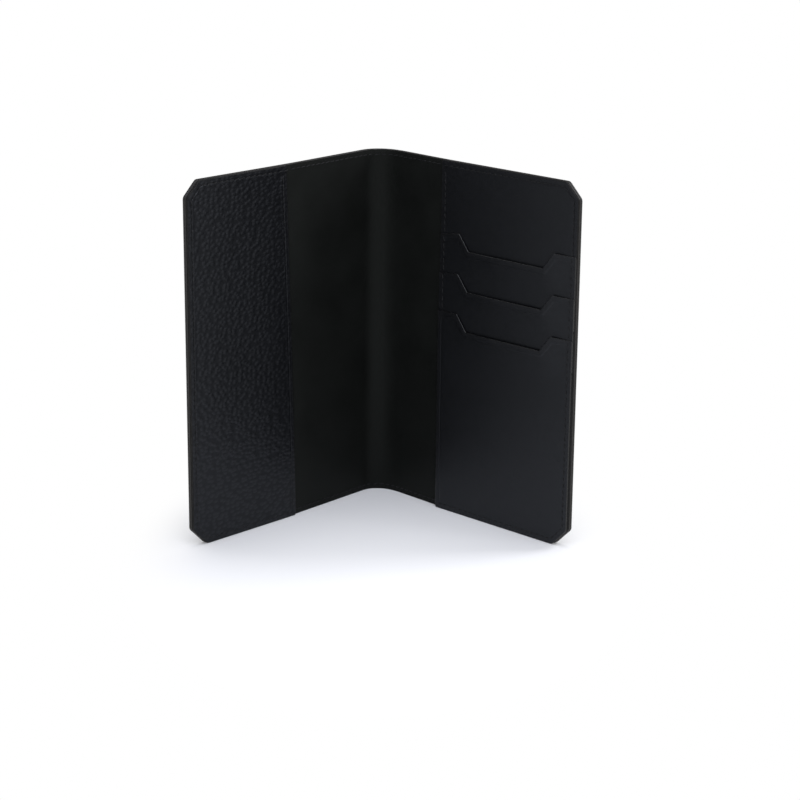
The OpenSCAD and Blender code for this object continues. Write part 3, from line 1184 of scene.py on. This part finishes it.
class HOLDER_OT_card_slots(bpy.types.Operator):
    """The three slot strips, the cloth tails behind them and the levelling strips"""
    bl_idname = "holder.card_slots"
    bl_label = "Card slots"

    names = ("upper", "middle", "lower")

    # Spacing of a strip's mesh points, the gap over a levelling strip, and radii of the corners
    strip_step, levelling_gap = 0.0025, 0.0003
    strip_corner, tab_end, tab_corner, notch_corner, tail_corner = 0.0008, 0.0006, 0.001, 0.0008, 0.0004
    levelling_cut, levelling_corner = 0.001, 0.0005

    # How far the hem's step stops short of the seams, in insets
    step_stop = 1.5

    # Widths over which a notch's lift rises and falls, in tabs, and the height in slots that it settles over
    lift_rise, lift_fall, lift_settle = 3, 1.5, 0.8

    def execute(self, context):
        cover, pockets = chosen("cover", "pockets")
        for i in range(pockets.slot_count):
            self.strip(cover, pockets, i)
        for i in range(pockets.slot_count - 1):
            self.tail(cover, pockets, i)
        for i in range(pockets.slot_count - 1):
            self.levelling(cover, pockets, i)
        return {"FINISHED"}

    def strip(self, cover, pockets, i):
        seams = chosen("seams")
        left, right = pockets.panel_run, cover.reach - EDGE_GAP
        top = slot_edge(i)
        step = beside(np.array(top), pockets.hem_width)
        last = step[-2] - step[-1]
        step[0, 0] -= self.step_stop * seams.inset
        step[-1] += last / np.linalg.norm(last) * self.step_stop * seams.inset
        creases = [(step, pockets.hem_step, 0.0)]
        if i == pockets.slot_count - 1:
            low = cover_corners(left, left, EDGE_GAP)[:3]
            radii = [self.strip_corner, cover.corner_round, cover.corner_round]
            run = left + seams.inset
            creases.append(seam_crease([(run, top[-1][1] - 2 * seams.inset), (run, 2 * seams.inset)]))
        else:
            low = flat_points((left, strip_low(i)), (right, strip_low(i)))
            radii = [self.strip_corner, self.strip_corner]
        tab = [self.tab_end, self.tab_corner, self.notch_corner]
        outline = rounded(low + top, radii + tab + tab[::-1])

        def lift(run, height):
            """The notch stands off, most towards the cover's free edge, and settles down the strip."""
            rise, fall = self.lift_rise * pockets.tab_width, self.lift_fall * pockets.tab_width
            free = smooth((run - left) / rise) * smooth((cover.reach - run) / fall)
            below = (slot_top(i) - pockets.notch_depth - height) / pockets.slot_pitch
            return pockets.mouth * free * (1.0 - smooth(below / self.lift_settle))

        def hem(flat):
            """The turned edge is thicker between the sewn sides."""
            run, side = flat[:, 0], pockets.tape_width
            free = smooth((run - left) / side - 0.5) * smooth((cover.reach - run) / side - 0.5)
            away = distance_to(flat, np.array(top), False)
            return pockets.hem * free * (1.0 - smooth((away - pockets.hem_width) / pockets.hem_step + 0.5))

        back = strip_depth(i)
        piece = sheet(
            f"{self.names[i]}_strip", Half(BACK), outline, back, back + pockets.strip, RIM["strip"],
            self.strip_step, creases, lift, hem
        )
        dress(piece, smooth_calf, burnished_edge)
        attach(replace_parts(piece, f"{self.names[i]}_slot_strip"), BODY[BACK])

    def tail(self, cover, pockets, i):
        """Cloth that hangs behind the next strip and closes the slot."""
        low, high = max(pockets.tape_width, slot_top(i) - pockets.card_depth), strip_low(i)
        left, right = pockets.panel_run + pockets.tape_width, cover.reach - pockets.tape_width
        outline = rectangle(left, right, low, high, self.tail_corner)
        back = strip_depth(i)
        piece = sheet(f"{self.names[i]}_tail", Half(BACK), outline, back, back + pockets.tail, RIM["tail"])
        dress(piece, pocket_cloth, pocket_cloth)
        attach(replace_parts(piece, f"{self.names[i]}_slot_tail"), BODY[BACK])

    def levelling(self, cover, pockets, i):
        """A strip that fills the step under the next slot strip's sewn sides."""
        width, cut = pockets.tape_width, cover.corner_cut
        left, right = pockets.panel_run, cover.reach - TAPE_INSET
        top = strip_low(i) - self.levelling_gap
        foot = cover_corners(left, left, TAPE_INSET)[:3]
        inner = flat_points(
            (right, top), (right - width, top), (right - width, cut), (right - cut, width),
            (left + width, width), (left + width, top), (left, top),
        )
        radii = [self.levelling_corner] + [self.levelling_cut] * 2 + [self.levelling_corner] * 7
        outline = rounded(foot + inner, radii)
        back, face = strip_depth(i) + HAIR, strip_depth(i) + pockets.strip - HAIR
        name = f"levelling_strip_{i + 1}"
        piece = sheet(name, Half(BACK), outline, back, face, RIM["levelling"], HIDDEN_STEP)
        dress(piece, smooth_calf, edge_dye)
        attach(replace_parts(piece, "slot_filler"), BODY[BACK])


class HOLDER_OT_seams(bpy.types.Operator):
    """All stitches: round the covers on both sides, along the flap and along the card pocket"""
    bl_idname = "holder.seams"
    bl_label = "Seams"

    def execute(self, context):
        cover, pockets, seams = chosen("cover", "pockets", "seams")
        self.round_cover(FRONT, pockets.flap_run, ("front_seam_thread", "spine_thread"))
        self.round_cover(BACK, pockets.panel_run, ("back_seam_thread",))
        flap = sew("flap_stitches", Half(FRONT), [(flap_seam(), pockets.tape + pockets.flap, 1)])
        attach(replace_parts(flap, "front_flap_thread"), BODY[FRONT])
        pocket = sew("card_pocket_stitches", Half(BACK), self.pocket_rows(cover, pockets, seams))
        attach(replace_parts(pocket, "card_pocket_thread"), BODY[BACK])
        return {"FINISHED"}

    def round_cover(self, side, start, nodes):
        """The seam round a cover: outside, along the lining, and on the pocket that starts there."""
        cover, pockets, seams = chosen("cover", "pockets", "seams")
        form = Half(side)
        outer = -cover.lining - cover.leather + seams.crease_depth
        rows = [(pair, outer, -1) for pair in pairs(seam_corners(0.0))]
        for z in (seams.inset, cover.height - seams.inset):
            rows.append((flat_points((0.0, z), (start - SEAM_GAP, z)), 0.0, 1))
        corners = seam_corners(start + SEAM_GAP)
        if side == FRONT:
            face = pockets.tape + pockets.flap - seams.crease_depth
            rows += [(pair, face, 1) for pair in pairs(corners)]
        else:
            rows += self.slot_rows(pockets, corners)
        piece = sew(f"{SIDE[side]}_seam_stitches", form, rows)
        form.blend(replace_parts(piece, *nodes))

    def slot_rows(self, pockets, corners):
        """Rows round the back cover, each at the depth of the layer that it is sewn through."""
        last = pockets.slot_count
        face = [strip_depth(i) for i in range(last + 1)]
        rows = [(pair, face[0], 1) for pair in pairs(corners[:3])]
        rows += [(pair, face[last], 1) for pair in pairs(corners[3:])]
        edge = corners[2][0]
        for i in range(last + 1):
            top = corners[2][1] if i == 0 else slot_top(i - 1) - STITCH_GAP
            low = corners[3][1] if i == last else slot_top(i) + STITCH_GAP
            rows.append((flat_points((edge, top), (edge, low)), face[i], 1))
        return rows

    def pocket_rows(self, cover, pockets, seams):
        """Rows along the panel's free edge, one above each slot strip."""
        run = pockets.panel_run + seams.inset
        rows = []
        top = cover.height - 2 * seams.inset
        for i in range(pockets.slot_count):
            tab = slot_top(i) - pockets.tab_sag[i]
            rows.append((flat_points((run, top), (run, tab + 2 * STITCH_GAP)), strip_depth(i), 1))
            top = tab - STITCH_GAP
        return rows


OPERATORS = (
    HOLDER_OT_stage,
    HOLDER_OT_outer_leather,
    HOLDER_OT_linings,
    HOLDER_OT_stiffeners,
    HOLDER_OT_passport_pockets,
    HOLDER_OT_card_slots,
    HOLDER_OT_seams,
)


class HOLDER_PT_pieces(bpy.types.Panel):
    """The holder's pieces and their sizes"""
    bl_idname = "HOLDER_PT_pieces"
    bl_label = "Passport holder"
    bl_space_type = "VIEW_3D"
    bl_region_type = "UI"
    bl_category = "Holder"

    def draw(self, context):
        for operator in OPERATORS:
            self.layout.operator(operator.bl_idname)
        for name, group in GROUPS.items():
            box = self.layout.box()
            for key in group.__annotations__:
                box.prop(chosen(name), key)


def register():
    for name, group in GROUPS.items():
        bpy.utils.register_class(group)
        setattr(bpy.types.Scene, f"holder_{name}", bpy.props.PointerProperty(type=group))
    for item in (*OPERATORS, HOLDER_PT_pieces):
        bpy.utils.register_class(item)


def unregister():
    for item in (HOLDER_PT_pieces, *reversed(OPERATORS)):
        bpy.utils.unregister_class(item)
    for name, group in reversed(GROUPS.items()):
        delattr(bpy.types.Scene, f"holder_{name}")
        bpy.utils.unregister_class(group)


def main():
    register()
    for operator in OPERATORS:
        family, name = operator.bl_idname.split(".")
        getattr(getattr(bpy.ops, family), name)()


if __name__ == "__main__":
    main()
